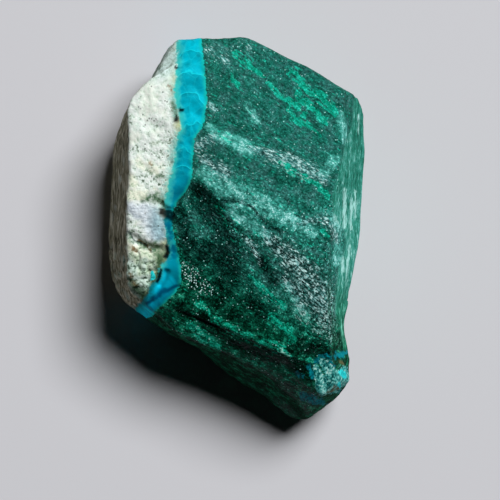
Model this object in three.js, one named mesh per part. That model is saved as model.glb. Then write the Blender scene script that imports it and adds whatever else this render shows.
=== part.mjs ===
// A hand specimen of azurite with malachite: one natural stone, lying as it rests on a table.
// A block of fibrous green malachite carries a narrow vein of blue azurite on its left and a rind
// of pale, grainy host rock beyond the vein. The three minerals grew as one, so the stone is one solid.
//
// Units are millimetres, +X right, +Y away, +Z up. The stone lies on z = 0.
//
// How the shape is made: every direction out of the stone's heart meets the surface once, so the
// surface is a reach found along rays. Rays leave through an even grid on the six sides of a box.
// The solid is three convex blocks in one: each is bounded by leaning walls and by top planes, and
// broken-stone relief (ledges, cracks, pits, splinters and grains) is then raised on that surface.
import * as THREE from "three";
import { mergeVertices } from "three/addons/utils/BufferGeometryUtils.js";

// ---------- Driving dimensions ----------
const HEART = [0, -0.5, 7.5]; // the point all rays leave from
const CAGE = [14, 21, 7.5]; // half sizes of the box that the rays pass through
const GRID = [28, 42, 15]; // cells of that box along X, Y and Z
const EDGE_ROUND = 0.4; // how far a broken edge is rounded
const CREST_HEIGHT = 16.2; // the ridge that crosses the top
// The fibres run across the plan, falling this much to the right; the slope swings with the place.
const FIBRE_SLOPE = { mean: 0.68, swing: 0.17, wavelength: 24, steepestY: 21 };

// ---------- Walls ----------
// Each wall has a belly line, where it stands out furthest, and a rim line under the top's edge.
// A line is [x, y, outward azimuth in degrees, z]. Below the belly the wall runs inwards by `under`
// millimetres for each millimetre down. `blocks` says which of the three blocks the wall bounds.
const CORE = "core";
const SHOULDER = "shoulder";
const TOE = "toe";
const ALL = [CORE, SHOULDER, TOE];
const NOT_TOE = [CORE, SHOULDER];
const NOT_SHOULDER = [CORE, TOE];
const WALLS = [
  { belly: [15.25, 8, -1.5, 4.5], rim: [12.05, 5, -3.7, 14], under: 0.5, blocks: ALL },
  { belly: [14.8, -2.05, -19, 5], rim: [12.2, -3.65, -2.5, 14], under: 0.35, blocks: NOT_TOE },
  { belly: [13.15, -13.4, 5.4, 5.5], rim: [12.3, -14, 3, 12], under: 0.5, blocks: [TOE] },
  { belly: [13.05, -18.95, -36, 5], rim: [12.6, -17.8, -36, 10], under: 0.7, blocks: ALL },
  { belly: [9.15, -22.3, -53.3, 4.5], rim: [10.25, -19.55, -59.7, 10.5], under: 0.75, blocks: ALL },
  { belly: [-2.05, -16.65, 235.4, 3.5], rim: [-1.25, -14.75, 245.4, 12], under: 0.45, blocks: ALL },
  { belly: [-14.4, -9.65, 229, 4], rim: [-12.05, -7.9, 229, 12], under: 0.6, blocks: ALL },
  { belly: [-15.05, -6.7, 199.3, 4], rim: [-13.3, -5.5, 198, 12.5], under: 0.5, blocks: ALL },
  { belly: [-15.3, 0, 178.4, 4.5], rim: [-12.95, 0, 179.7, 13.5], under: 0.55, blocks: ALL },
  { belly: [-14.45, 11.55, 165, 5], rim: [-13.05, 12, 172.4, 14], under: 0.4, blocks: ALL },
  { belly: [-13.25, 15.55, 152.5, 6], rim: [-11.85, 15.75, 146.3, 13.8], under: 0.35, blocks: [SHOULDER] },
  { belly: [-10.7, 17.15, 121.4, 9], rim: [-10.7, 17.1, 121.7, 14], under: 0.3, blocks: [SHOULDER] },
  { belly: [-9.1, 19.9, 152.7, 8], rim: [-8.65, 19.3, 146.8, 14], under: 0.25, blocks: NOT_SHOULDER },
  { belly: [-7.5, 22.85, 116, 9], rim: [-7.45, 22.75, 116, 14], under: 0.25, blocks: ALL },
  { belly: [-3, 22.5, 90.8, 10], rim: [-3, 22.4, 92.7, 14], under: 0.22, blocks: ALL },
  { belly: [4.1, 21.4, 67.7, 9.5], rim: [4.1, 21.3, 67.8, 14], under: 0.28, blocks: ALL },
  { belly: [10.9, 17.9, 59.8, 8.5], rim: [10.8, 17.7, 60.7, 14], under: 0.2, blocks: ALL },
  { belly: [15.15, 14.5, 27, 6.5], rim: [13.85, 15.15, 24, 13.5], under: 0.3, blocks: ALL },
];

// ---------- Top planes ----------
// Each passes through a point [x, y, z] and falls `slope` millimetres for each millimetre towards `falls`.
const TOPS = [
  // the silky side of the crest
  { through: [-1.7, 3.4, CREST_HEIGHT], falls: [0.5, 0.866], slope: 0.13, blocks: ALL },
  // the shaded side of the crest
  { through: [-1.7, 3.4, CREST_HEIGHT], falls: [-0.6, -0.8], slope: 0.2, blocks: ALL },
  // the host rock falls to the left
  { through: [-7.5, 8, 15.1], falls: [-0.98, -0.2], slope: 0.12, blocks: ALL },
  // a chip is off the far left
  { through: [-8.3, 19.25, 13.7], falls: [-0.743, 0.669], slope: 0.75, blocks: NOT_SHOULDER },
  // the fall to the tip at the near right
  { through: [9.5, -14.2, 13.6], falls: [0.5, -0.866], slope: 0.62, blocks: ALL },
  // the dim slope at the near left, and a steeper one beside it
  { through: [-3, -11.7, 13.6], falls: [-0.55, -0.835], slope: 0.65, blocks: ALL },
  { through: [3, -14, 13.7], falls: [-0.35, -0.937], slope: 1.1, blocks: ALL },
];
const TOE_BACK = { y: -8.5, slope: 0.9 }; // the toe block ends inside the core

// ---------- Relief that has a place of its own ----------
// The crest drops on its shaded side: most at its upper end, less between two shares of its length. The
// drop is full at `edge` from the line, and it runs out between two distances from the line.
const CREST = {
  line: [[-5.6, 6], [-4.9, 5.5], [-3.2, 4.4], [-1.7, 3], [-0.4, 1.3], [1.2, -0.8], [2.4, -2.6]],
  drop: 0.8, edge: 1.8, lessens: [0.25, 0.8], runsOut: [2.5, 9],
};
const CREST_CRACK = [[-2.4, 3.6], [-1.4, 3.3], [0.4, 3.1], [1.5, 2.5], [2.5, 1.5], [3.9, 0.2], [5.2, -0.6]];
// Each ledge steps up or down over its edge's width, and runs out further from its line.
const UPPER_LEDGE = {
  line: [[-3.9, 12.6], [0.8, 10.4], [3.4, 9.4], [12.4, 7]],
  rise: 0.35, starts: [0, 0.08], edge: [-0.2, 0.4], runsOut: [1, 5],
};
const LOWER_LEDGE = {
  line: [[-4.6, -10.4], [-0.6, -11.9], [2.4, -13.4], [6.2, -15]],
  drop: 0.25, edge: [-0.1, 0.4], runsOut: [1, 4],
};
const GROOVE_ENDS = { opens: [-0.05, 0.2], closes: [0.85, 1.1] }; // as shares of a groove's length
const GROOVES = [
  { line: CREST_CRACK, width: 0.35, depth: 0.4 },
  { line: [[-5.3, -10.4], [-3.6, -11.2], [-2.2, -11.9]], width: 0.5, depth: 0.25 }, // by the near edge
  { line: [[-9.2, 3], [-8.2, 2.3], [-7.2, 2.2]], width: 0.6, depth: 0.5 }, // from rock to vein
  { line: [[-13.2, -0.4], [-11.3, -1.65], [-9.9, -2.5], [-8.5, -2.3]], width: 0.7, depth: 0.6 }, // on rock
  { line: [[-8.2, -4.6], [-8.5, -5.8], [-9.2, -6.9]], width: 0.6, depth: 0.5 }, // beside the vein's near end
];
// Round dents in the walls. A depth below zero is a swelling.
const DENTS = [
  { middle: [-5.2, -14.4, 4], radius: 3, depth: 0.55 }, // in the near left wall
  { middle: [-9.6, 18.6, 11], radius: 1.3, depth: 0.3 }, // between the shoulder and the far end
  { middle: [13.4, -11.5, 6], radius: 3, depth: 0.3 }, // where the toe meets the right wall
  { middle: [12.8, -8.5, 5.5], radius: 2, depth: -0.35 }, // a swelling just behind that
];
// The ridge where the top meets the smooth right side.
const EAST_RIDGE = [
  [15.5, 17], [13.9, 15.4], [13.7, 12.6], [12.8, 10], [11.8, 5.8], [11.2, 3.9], [11.5, 1], [12.8, 0],
  [13, -1.9], [12.5, -3.4], [12, -4.8], [11.7, -7], [11.6, -10], [12.2, -11.5], [12.6, -13.9], [14.5, -17],
];

// The vein: a steep sheet that crosses the stone. Its left and right faces in plan, from far to near.
const VEIN_LEFT = [
  [-6.5, 24.6], [-7, 18.1], [-7.1, 15.4], [-6.5, 11.6], [-7.3, 6.9], [-8.2, 3.4], [-8.5, 0.4], [-7.9, -2.7],
  [-9.2, -6], [-11.3, -9.8],
];
const VEIN_RIGHT = [
  [-3.8, 24.6], [-3.3, 15.2], [-3.9, 11.9], [-5, 8.1], [-5.1, 5.8], [-6.8, 3.1], [-7.3, 1.9], [-7.3, 0.1],
  [-6.3, -4.6], [-6.2, -6.5], [-9.2, -9.8],
];
const VEIN_DIP = 0.12; // the sheet moves left by this share of the depth below the crest
const VEIN_BLEND = 0.3; // half the width over which one mineral's relief turns into the next one's
// The vein grew in rounded lobes. Their edges wander slowly, and bow by a share of a lobe's length.
const LOBES = { length: 2.7, bow: 0.4, wander: 0.7, slowness: 3 };
// Sizes of the relief's waves, as [X, Y, Z] or, for ledges, [along the fibres, across them, Z].
const LEDGE_SIZE = [7, 2.4, 2.4];
const LEDGE_TREAD = 0.3; // a ledge's share of the wave's height
const RIB_SIZE = [0.5, 5, 0.7];
const LUMP_SIZE = 2.1;
const PIT_SIZE = 1.5;
const PIT_THRESHOLD = 0.35; // pits are where the pit wave is above this
// Heights and depths of each mineral's own relief. The lumps grow by `crumbled` where the rock crumbles.
const RELIEF = { ledge: 0.1, rib: 0.12, lump: 0.08, crumbled: 0.08, pit: 0.25, lobe: 0.13, lobeSink: 0.05 };
const BROKEN_ROCK = { from: -0.5, to: -3.5 }; // the rock crumbles at its near end, between these y

// ---------- Noise ----------
// A repeatable random number from 0 to 1 for each lattice point: whole-number mixing in 32 bits.
function latticeValue(i, j, k, seed) {
  let h = Math.imul(i, 374761393) ^ Math.imul(j, 668265263) ^ Math.imul(k, 2147483647);
  h ^= Math.imul(seed, 1274126177);
  h = Math.imul(h ^ (h >>> 13), 1274126177);
  h = Math.imul(h ^ (h >>> 16), 2246822519);
  return ((h ^ (h >>> 15)) >>> 0) / 4294967295;
}

// Smooth noise from -1 to 1: lattice values blended by an S curve.
const ease = (t) => t * t * t * (t * (t * 6 - 15) + 10);
function noise(x, y, z, seed) {
  const [i, j, k] = [Math.floor(x), Math.floor(y), Math.floor(z)];
  const [u, v, w] = [ease(x - i), ease(y - j), ease(z - k)];
  let sum = 0;
  for (let corner = 0; corner < 8; corner++) {
    const [a, b, c] = [corner & 1, (corner >> 1) & 1, corner >> 2];
    const weight = (a ? u : 1 - u) * (b ? v : 1 - v) * (c ? w : 1 - w);
    sum += weight * latticeValue(i + a, j + b, k + c, seed);
  }
  return sum * 2 - 1;
}

// ---------- Small helpers ----------
const clamp = (t, low, high) => Math.min(Math.max(t, low), high);
const smooth = (low, high, t) => {
  const s = clamp((t - low) / (high - low), 0, 1);
  return s * s * (3 - 2 * s);
};
const smoothMax = (a, b, k) => Math.max(a, b) + (Math.max(k - Math.abs(a - b), 0) ** 2) / (4 * k);
const outward = (azimuth) => {
  const angle = THREE.MathUtils.degToRad(azimuth);
  return [Math.cos(angle), Math.sin(angle)];
};
// 0 at 0 and 1 from 1 on: a parabola that leaves its start with a sharp edge.
const fallAway = (t) => 1 - clamp(1 - t, 0, 1) ** 2;
// Turns a smooth value into flat treads a step apart, joined by steep risers.
const terraces = (t, step) => {
  const level = Math.floor(t / step);
  return step * (level + smooth(0.35, 0.65, t / step - level));
};

// Nearest place on a line of points: its distance, which side of the line (right is positive), and the
// share of the line's length passed.
function alongLine(line, x, y) {
  let best = { gap: Infinity, side: 1, share: 0 };
  line.slice(1).forEach(([x1, y1], n) => {
    const [x0, y0] = line[n];
    const [dx, dy] = [x1 - x0, y1 - y0];
    const t = clamp(((x - x0) * dx + (y - y0) * dy) / (dx * dx + dy * dy), 0, 1);
    const gap = Math.hypot(x - x0 - t * dx, y - y0 - t * dy);
    if (gap >= best.gap) return;
    const side = Math.sign((x - x0) * dy - (y - y0) * dx) || 1;
    best = { gap, side, share: (n + t) / (line.length - 1) };
  });
  return best;
}

// The x of a face given as [x, y] points that run from far to near, at a given y.
function faceAt(face, y) {
  const n = face.findIndex(([, fy]) => fy < y);
  if (n === 0) return face[0][0];
  if (n < 0) return face[face.length - 1][0];
  const [[x0, y0], [x1, y1]] = [face[n - 1], face[n]];
  return x0 + ((x1 - x0) * (y0 - y)) / (y0 - y1);
}

// ---------- The blocks ----------
// How far a point stands outside a wall: a blend from its belly line to its rim line.
function outsideWall(wall, x, y, z) {
  const distanceFrom = ([lineX, lineY, azimuth]) => {
    const [nx, ny] = outward(azimuth);
    return (x - lineX) * nx + (y - lineY) * ny;
  };
  const [bellyHeight, rimHeight] = [wall.belly[3], wall.rim[3]];
  const share = clamp((z - bellyHeight) / (rimHeight - bellyHeight), 0, 1.4);
  const blended = distanceFrom(wall.belly) * (1 - share) + distanceFrom(wall.rim) * share;
  return blended + Math.max(bellyHeight - z, 0) * wall.under;
}

function aboveTop(top, x, y, z) {
  const [tx, ty, tz] = top.through;
  const run = (x - tx) * top.falls[0] + (y - ty) * top.falls[1];
  return (z - tz + run * top.slope) / Math.hypot(1, top.slope);
}

// How far a point is outside one block: the smooth greatest of its walls and tops.
function outsideBlock(block, x, y, z) {
  const bounds = (face) => face.blocks.includes(block);
  const distances = [
    ...WALLS.filter(bounds).map((wall) => outsideWall(wall, x, y, z)),
    ...TOPS.filter(bounds).map((top) => aboveTop(top, x, y, z)),
  ];
  if (block === TOE) distances.push((y - TOE_BACK.y) * TOE_BACK.slope);
  return distances.reduce((far, distance) => smoothMax(far, distance, EDGE_ROUND));
}

// Planes of a natural break are never quite flat: space is bent a little before the blocks are read.
const BENDS = [{ size: 8, by: 0.4, seed: 0 }, { size: 3, by: 0.18, seed: 9 }];
const BEND_OF_HEIGHT = 0.4; // heights bend by this share, so the tops stay flatter than the walls
function outside(x, y, z) {
  const bend = (axis) =>
    BENDS.reduce((sum, { size, by, seed }) => sum + by * noise(x / size, y / size, z / size, seed + axis), 0);
  const [px, py, pz] = [x + bend(1), y + bend(2), z + BEND_OF_HEIGHT * bend(3)];
  return Math.max(Math.min(...ALL.map((block) => outsideBlock(block, px, py, pz))), -z);
}

// ---------- Relief ----------
// Steps and cracks of the top, by where they are in plan. The crest and the upper ledge are in the malachite.
function placedRelief(x, y, green) {
  let height = 0;
  const crest = alongLine(CREST.line, x, y);
  if (crest.side > 0) {
    const drop = CREST.drop * (1 - smooth(...CREST.lessens, crest.share)) * fallAway(crest.gap / CREST.edge);
    height -= drop * green * (1 - smooth(...CREST.runsOut, crest.gap));
  }
  const upper = alongLine(UPPER_LEDGE.line, x, y);
  const over = upper.gap * upper.side;
  const rise = UPPER_LEDGE.rise * green * smooth(...UPPER_LEDGE.starts, upper.share);
  height += rise * smooth(...UPPER_LEDGE.edge, over) * (1 - smooth(...UPPER_LEDGE.runsOut, over));
  const lower = alongLine(LOWER_LEDGE.line, x, y);
  const under = lower.gap * lower.side;
  const drop = LOWER_LEDGE.drop * smooth(...LOWER_LEDGE.edge, under);
  height -= drop * (1 - smooth(...LOWER_LEDGE.runsOut, under));
  for (const { line, width, depth } of GROOVES) {
    const { gap, share } = alongLine(line, x, y);
    const ends = smooth(...GROOVE_ENDS.opens, share) * (1 - smooth(...GROOVE_ENDS.closes, share));
    height -= depth * Math.exp(-2 * (gap / width) ** 2) * ends;
  }
  return height;
}

// Depth of the round dents: each fades as a bell curve with the distance from its middle.
function dents(x, y, z) {
  const depthOf = ({ middle, radius, depth }) => {
    const distance = Math.hypot(x - middle[0], y - middle[1], z - middle[2]);
    return depth * Math.exp(-2 * (distance / radius) ** 2);
  };
  return DENTS.reduce((sum, dent) => sum + depthOf(dent), 0);
}

// How much of each mineral is at a point: 1 inside it and 0 outside.
function minerals(x, y, z) {
  const shift = VEIN_DIP * (CREST_HEIGHT - z);
  const leftGap = x - faceAt(VEIN_LEFT, y) + shift;
  const rightGap = x - faceAt(VEIN_RIGHT, y) + shift;
  const rock = 1 - smooth(-VEIN_BLEND, VEIN_BLEND, leftGap);
  const green = smooth(-VEIN_BLEND, VEIN_BLEND, rightGap);
  return { rock, green, vein: clamp(1 - rock - green, 0, 1), leftGap, rightGap };
}

// A point's place along and across the fibres. Each fibre is a line y = n - slope * x in plan, and the
// slope swings with n as a wave, so n is found by a few rounds of putting the last answer back in.
function alongFibres(x, y) {
  const { mean, swing, wavelength, steepestY } = FIBRE_SLOPE;
  let n = y + mean * x;
  for (let round = 0; round < 6; round++) {
    n = y + x * (mean + swing * Math.cos(((n - steepestY) * 2 * Math.PI) / wavelength));
  }
  return { along: 0.82 * x - 0.57 * y, across: 0.82 * n };
}

// Low ledges along the fibres on malachite, ribs on its smooth right side, lumps and pits on the rock,
// and rounded lobes on the vein. A lobe's edge bows with the square of the place across the vein.
function brokenRelief(x, y, z) {
  const { rock, green, vein, leftGap, rightGap } = minerals(x, y, z);
  const { along, across } = alongFibres(x, y);
  const wave = (place, size, seed) => noise(...place.map((v, axis) => v / (size[axis] ?? size)), seed);
  const ledge = terraces(wave([along, across, z], LEDGE_SIZE, 21), LEDGE_TREAD);
  const rib = wave([x, y, z], RIB_SIZE, 26);
  const east = smooth(-0.2, 0.2, x - faceAt(EAST_RIDGE, y));
  const broken = 1 - smooth(BROKEN_ROCK.to, BROKEN_ROCK.from, y);
  const lump = wave([x, y, z], LUMP_SIZE, 31);
  const pit = Math.max(0, wave([x, y, z], PIT_SIZE, 33) - PIT_THRESHOLD);
  const place = clamp((leftGap + rightGap) / Math.max(leftGap - rightGap, 0.3), -1, 1);
  const wandering = y + LOBES.wander * wave([x, y, z], LOBES.slowness, 41);
  const lobes = wandering / LOBES.length + LOBES.bow * place ** 2;
  const onGreen = (1 - east) * RELIEF.ledge * ledge + east * RELIEF.rib * rib;
  const onRock = (RELIEF.lump + RELIEF.crumbled * broken) * lump - RELIEF.pit * pit;
  const onVein = RELIEF.lobe * Math.abs(Math.sin(Math.PI * lobes)) - RELIEF.lobeSink;
  return green * onGreen + rock * onRock + vein * onVein;
}

// ---------- The surface ----------
function insideCage(direction) {
  let [low, high] = [0.2, 2.2];
  for (let halving = 0; halving < 40; halving++) {
    const reach = (low + high) / 2;
    const [x, y, z] = HEART.map((h, axis) => h + reach * direction[axis]);
    if (outside(x, y, z) > 0) high = reach;
    else low = reach;
  }
  return HEART.map((h, axis) => h + low * direction[axis]);
}

function outwardNormal([x, y, z]) {
  const e = 0.15;
  const normal = new THREE.Vector3(
    outside(x + e, y, z) - outside(x - e, y, z),
    outside(x, y + e, z) - outside(x, y - e, z),
    outside(x, y, z + e) - outside(x, y, z - e),
  );
  return normal.normalize();
}

function surfacePoint(direction) {
  const [x, y, z] = insideCage(direction);
  if (z < 1e-4) return [x, y, 0];
  const normal = outwardNormal([x, y, z]);
  const offTheTable = smooth(0, 1.2, z);
  const onTop = smooth(0.45, 0.8, normal.z);
  const marks = onTop * placedRelief(x, y, minerals(x, y, z).green);
  const raise = (brokenRelief(x, y, z) - dents(x, y, z) + marks) * offTheTable;
  return [x + normal.x * raise, y + normal.y * raise, Math.max(z + normal.z * raise, 0)];
}

// One side of the cage: a grid of rays over the two axes that run along it.
function cageSide(fixedAxis, sign) {
  const [a, b] = [0, 1, 2].filter((axis) => axis !== fixedAxis);
  const points = [];
  const cells = [];
  for (let j = 0; j <= GRID[b]; j++)
    for (let i = 0; i <= GRID[a]; i++) {
      const direction = [0, 0, 0];
      direction[fixedAxis] = sign * CAGE[fixedAxis];
      direction[a] = CAGE[a] * ((2 * i) / GRID[a] - 1);
      direction[b] = CAGE[b] * ((2 * j) / GRID[b] - 1);
      points.push(...surfacePoint(direction));
    }
  const turn = (fixedAxis === 1 ? -1 : 1) * sign;
  const row = GRID[a] + 1;
  for (let j = 0; j < GRID[b]; j++)
    for (let i = 0; i < GRID[a]; i++) {
      const n = j * row + i;
      const quad = turn > 0 ? [n, n + 1, n + row + 1, n + row] : [n, n + row, n + row + 1, n + 1];
      cells.push(quad[0], quad[1], quad[2], quad[0], quad[2], quad[3]);
    }
  return { points, cells };
}

function stoneGeometry() {
  const positions = [];
  const triangles = [];
  for (const axis of [0, 1, 2])
    for (const sign of [-1, 1]) {
      const { points, cells } = cageSide(axis, sign);
      const first = positions.length / 3;
      positions.push(...points);
      triangles.push(...cells.map((n) => n + first));
    }
  const sides = new THREE.BufferGeometry();
  sides.setAttribute("position", new THREE.Float32BufferAttribute(positions, 3));
  sides.setIndex(triangles);
  const geometry = mergeVertices(sides, 1e-4);
  geometry.computeBoundingBox();
  const middle = geometry.boundingBox.getCenter(new THREE.Vector3());
  geometry.translate(-middle.x, -middle.y, 0);
  geometry.computeVertexNormals();
  return geometry;
}

// ---------- The part ----------
const stone = new THREE.Group();
const material = new THREE.MeshStandardMaterial({ color: 0x1b6b55, roughness: 0.5, metalness: 0 });
const specimen = new THREE.Mesh(stoneGeometry(), material);
specimen.name = "azurite_malachite_stone";
stone.add(specimen);

export default stone;
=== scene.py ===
# %% [markdown]
# # A hand stone of azurite with malachite
#
# The real object is one broken piece of copper ore. Most of it is malachite, a dark green mineral
# whose fibres lie side by side and glitter where they are snapped. A vein of blue azurite runs
# down its left, and beyond it clings a rind of the pale, grainy rock that both grew in. The CAD
# model fixes the size and the main faces. This script builds the same surface far more finely,
# and gives each mineral its own finish.

# %% Load the frame
import math

import bpy
import numpy as np
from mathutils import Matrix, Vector


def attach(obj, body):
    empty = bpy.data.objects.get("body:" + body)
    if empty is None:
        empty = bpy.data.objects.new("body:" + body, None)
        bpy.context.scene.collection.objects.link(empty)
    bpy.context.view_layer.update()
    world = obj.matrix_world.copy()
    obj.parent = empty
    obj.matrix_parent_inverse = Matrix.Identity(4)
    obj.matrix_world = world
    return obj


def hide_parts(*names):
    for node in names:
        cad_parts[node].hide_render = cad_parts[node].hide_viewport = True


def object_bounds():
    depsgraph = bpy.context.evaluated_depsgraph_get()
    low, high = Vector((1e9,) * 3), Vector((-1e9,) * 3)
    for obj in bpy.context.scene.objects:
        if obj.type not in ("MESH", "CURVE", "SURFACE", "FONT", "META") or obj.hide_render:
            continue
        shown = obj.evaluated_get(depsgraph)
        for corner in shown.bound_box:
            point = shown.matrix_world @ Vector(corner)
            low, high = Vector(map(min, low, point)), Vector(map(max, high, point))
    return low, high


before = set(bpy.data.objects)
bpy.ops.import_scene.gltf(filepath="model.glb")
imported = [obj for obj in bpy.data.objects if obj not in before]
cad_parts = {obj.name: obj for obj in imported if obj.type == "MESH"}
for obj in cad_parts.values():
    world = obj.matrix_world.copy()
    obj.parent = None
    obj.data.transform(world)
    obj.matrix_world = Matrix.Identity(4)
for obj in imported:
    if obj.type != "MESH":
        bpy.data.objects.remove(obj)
cad_low, cad_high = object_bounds()
STONE = "azurite_malachite_stone"
MM = 0.001  # the scene is in metres, and the stone is described in millimetres
print("CAD box in mm:", [round(v / MM, 1) for v in (*cad_low, *cad_high)])

# %% [markdown]
# ## The walls and the top, as numbers
#
# A broken stone is bounded by a few nearly flat breaks. Each wall leans, so it is given by two
# lines in plan: a belly line where it stands out furthest, and a rim line where the top meets it.
# Tops are planes that fall in one direction. These are the values that the CAD model is made from.

# %% The stone's faces
HEART = np.array([0.0, -0.5, 7.5])  # the point that all rays leave from
CAGE = np.array([14.0, 21.0, 7.5])  # half sizes of the box that the rays pass through
CREST_HEIGHT = 16.2  # the ridge that crosses the top
EDGE_ROUND = 0.4  # how far a broken edge is rounded
FIBRE_SLOPE, SLOPE_SWING, SWING_LENGTH, STEEPEST_Y = 0.68, 0.17, 24, 21  # how the fibres run in plan
CORE, SHOULDER, TOE = "core", "shoulder", "toe"
ALL = (CORE, SHOULDER, TOE)

# belly (x, y, outward azimuth), belly height, rim (x, y, azimuth), rim height, undercut, blocks
WALLS = [
    ((15.25, 8, -1.5), 4.5, (12.05, 5, -3.7), 14, 0.5, ALL),
    ((14.8, -2.05, -19), 5, (12.2, -3.65, -2.5), 14, 0.35, (CORE, SHOULDER)),
    ((13.15, -13.4, 5.4), 5.5, (12.3, -14, 3), 12, 0.5, (TOE,)),
    ((13.05, -18.95, -36), 5, (12.6, -17.8, -36), 10, 0.7, ALL),
    ((9.15, -22.3, -53.3), 4.5, (10.25, -19.55, -59.7), 10.5, 0.75, ALL),
    ((-2.05, -16.65, 235.4), 3.5, (-1.25, -14.75, 245.4), 12, 0.45, ALL),
    ((-14.4, -9.65, 229), 4, (-12.05, -7.9, 229), 12, 0.6, ALL),
    ((-15.05, -6.7, 199.3), 4, (-13.3, -5.5, 198), 12.5, 0.5, ALL),
    ((-15.3, 0, 178.4), 4.5, (-12.95, 0, 179.7), 13.5, 0.55, ALL),
    ((-14.45, 11.55, 165), 5, (-13.05, 12, 172.4), 14, 0.4, ALL),
    ((-13.25, 15.55, 152.5), 6, (-11.85, 15.75, 146.3), 13.8, 0.35, (SHOULDER,)),
    ((-10.7, 17.15, 121.4), 9, (-10.7, 17.1, 121.7), 14, 0.3, (SHOULDER,)),
    ((-9.1, 19.9, 152.7), 8, (-8.65, 19.3, 146.8), 14, 0.25, (CORE, TOE)),
    ((-7.5, 22.85, 116), 9, (-7.45, 22.75, 116), 14, 0.25, ALL),
    ((-3, 22.5, 90.8), 10, (-3, 22.4, 92.7), 14, 0.22, ALL),
    ((4.1, 21.4, 67.7), 9.5, (4.1, 21.3, 67.8), 14, 0.28, ALL),
    ((10.9, 17.9, 59.8), 8.5, (10.8, 17.7, 60.7), 14, 0.2, ALL),
    ((15.15, 14.5, 27), 6.5, (13.85, 15.15, 24), 13.5, 0.3, ALL),
]
# a point on the plane, the way it falls in plan, its slope, blocks
TOPS = [
    ((-1.7, 3.4, CREST_HEIGHT), (0.5, 0.866), 0.13, ALL),  # silky side of the crest
    ((-1.7, 3.4, CREST_HEIGHT), (-0.6, -0.8), 0.2, ALL),  # shaded side
    ((-7.5, 8, 15.1), (-0.98, -0.2), 0.12, ALL),  # host rock falls to the left
    ((-8.3, 19.25, 13.7), (-0.743, 0.669), 0.75, (CORE, TOE)),  # chip off the far left
    ((9.5, -14.2, 13.6), (0.5, -0.866), 0.62, ALL),  # fall to the near right tip
    ((-3, -11.7, 13.6), (-0.55, -0.835), 0.65, ALL),  # dim slope at the near left
    ((3, -14, 13.7), (-0.35, -0.937), 1.1, ALL),  # steeper slope beside it
]
TOE_BACK_Y, TOE_BACK_SLOPE = -8.5, 0.9  # the toe block ends inside the core
print(len(WALLS), "walls and", len(TOPS), "top planes in", len(ALL), "blocks")

# %% [markdown]
# ## Marks that have a place of their own
#
# The ridge that crosses the top steps down on its shaded side, ledges follow the fibres, and a few
# cracks open along the vein. Each is a short line of points in plan. The vein is a steep sheet:
# its left and right faces are lines too, and they lean to the left with depth.

# %% Ledges, cracks and the vein
CREST_LINE = [(-5.6, 6.0), (-4.9, 5.5), (-3.2, 4.4), (-1.7, 3.0), (-0.4, 1.3), (1.2, -0.8), (2.4, -2.6)]
CREST_STEP, CREST_RUN = 0.8, 1.8  # how deep the step is, and how far it takes to get there
CREST_CRACK = [(-2.4, 3.6), (-1.4, 3.3), (0.4, 3.1), (1.5, 2.5), (2.5, 1.5), (3.9, 0.2), (5.2, -0.6)]
UPPER_LEDGE = [(-3.9, 12.6), (0.8, 10.4), (3.4, 9.4), (12.4, 7.0)]
LOWER_LEDGE = [(-4.6, -10.4), (-0.6, -11.9), (2.4, -13.4), (6.2, -15)]
# line, width, depth
GROOVES = [
    (CREST_CRACK, 0.28, 0.4),
    ([(-5.3, -10.4), (-3.6, -11.2), (-2.2, -11.9)], 0.4, 0.25),
    ([(-9.2, 3.0), (-8.2, 2.3), (-7.2, 2.2)], 0.45, 0.5),
    ([(-13.2, -0.4), (-11.3, -1.65), (-9.9, -2.5), (-8.5, -2.3)], 0.7, 0.6),
    ([(-8.2, -4.6), (-8.5, -5.8), (-9.2, -6.9)], 0.6, 0.5),
]
CRACKS = [  # thin lines painted dark, as shade inside the cracks
    CREST_CRACK,
    [(-13, -0.5), (-12.2, -1.2), (-11.3, -1.75), (-10.4, -2.3), (-9.6, -2.6)],
    [(-10.4, -8.8), (-9.2, -7.9), (-8.3, -7.2), (-6.7, -6.6)],
]
VEIN_LEFT = [(-6.5, 24.6), (-6.6, 21.6), (-7, 18.1), (-7.1, 15.4), (-6.6, 13.4), (-6.5, 11.6),
             (-7.1, 9.8), (-7.3, 6.9), (-7.8, 5.1), (-8.2, 3.4), (-8.3, 1.6), (-8.5, 0.4), (-8, -1.3),
             (-7.9, -2.7), (-8.4, -3.9), (-9.2, -6), (-10, -7.3), (-10.6, -8.3), (-11.3, -9.8)]
VEIN_RIGHT = [(-3.8, 24.6), (-3.8, 21.6), (-3.5, 18.1), (-3.3, 15.2), (-3.6, 13), (-3.9, 11.9),
              (-4.8, 10.5), (-5, 8.1), (-5.1, 5.8), (-5.8, 4.3), (-6.8, 3.1), (-7.3, 1.9), (-7.3, 0.1),
              (-7, -1.5), (-6.6, -2.9), (-6.3, -4.6), (-6.2, -6.5), (-6.9, -7.5), (-8, -8.6),
              (-9.2, -9.8)]
VEIN_DIP = 0.12  # the sheet moves left by this share of the depth below the crest
LOBE_LENGTH = 2.7  # the vein swells once for each of these lengths
EAST_RIDGE = [(15.5, 17), (13.9, 15.4), (13.7, 12.6), (12.8, 10), (11.8, 5.8), (11.2, 3.9), (11.5, 1),
              (12.8, 0), (13, -1.9), (12.5, -3.4), (12, -4.8), (11.7, -7), (11.6, -10), (12.2, -11.5),
              (12.6, -13.9), (14.5, -17)]
DENTS = [  # x, y, z, radius, depth: a depth below zero is a swelling
    (-5.2, -14.4, 4, 3, 0.55),
    (-9.6, 18.6, 11, 1.3, 0.3),
    (13.4, -11.5, 6, 3, 0.3),
    (12.8, -8.5, 5.5, 2, -0.35),
]
print(len(GROOVES), "grooves,", len(CRACKS), "cracks,", len(DENTS), "dents")

# %% [markdown]
# ## Noise that repeats
#
# Fracture is rough at every scale, so most of the relief is noise. Blender's own noise would do,
# but a lattice of mixed whole numbers gives the same bumps here as in the CAD source, so both
# models bend in the same places.

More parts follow.
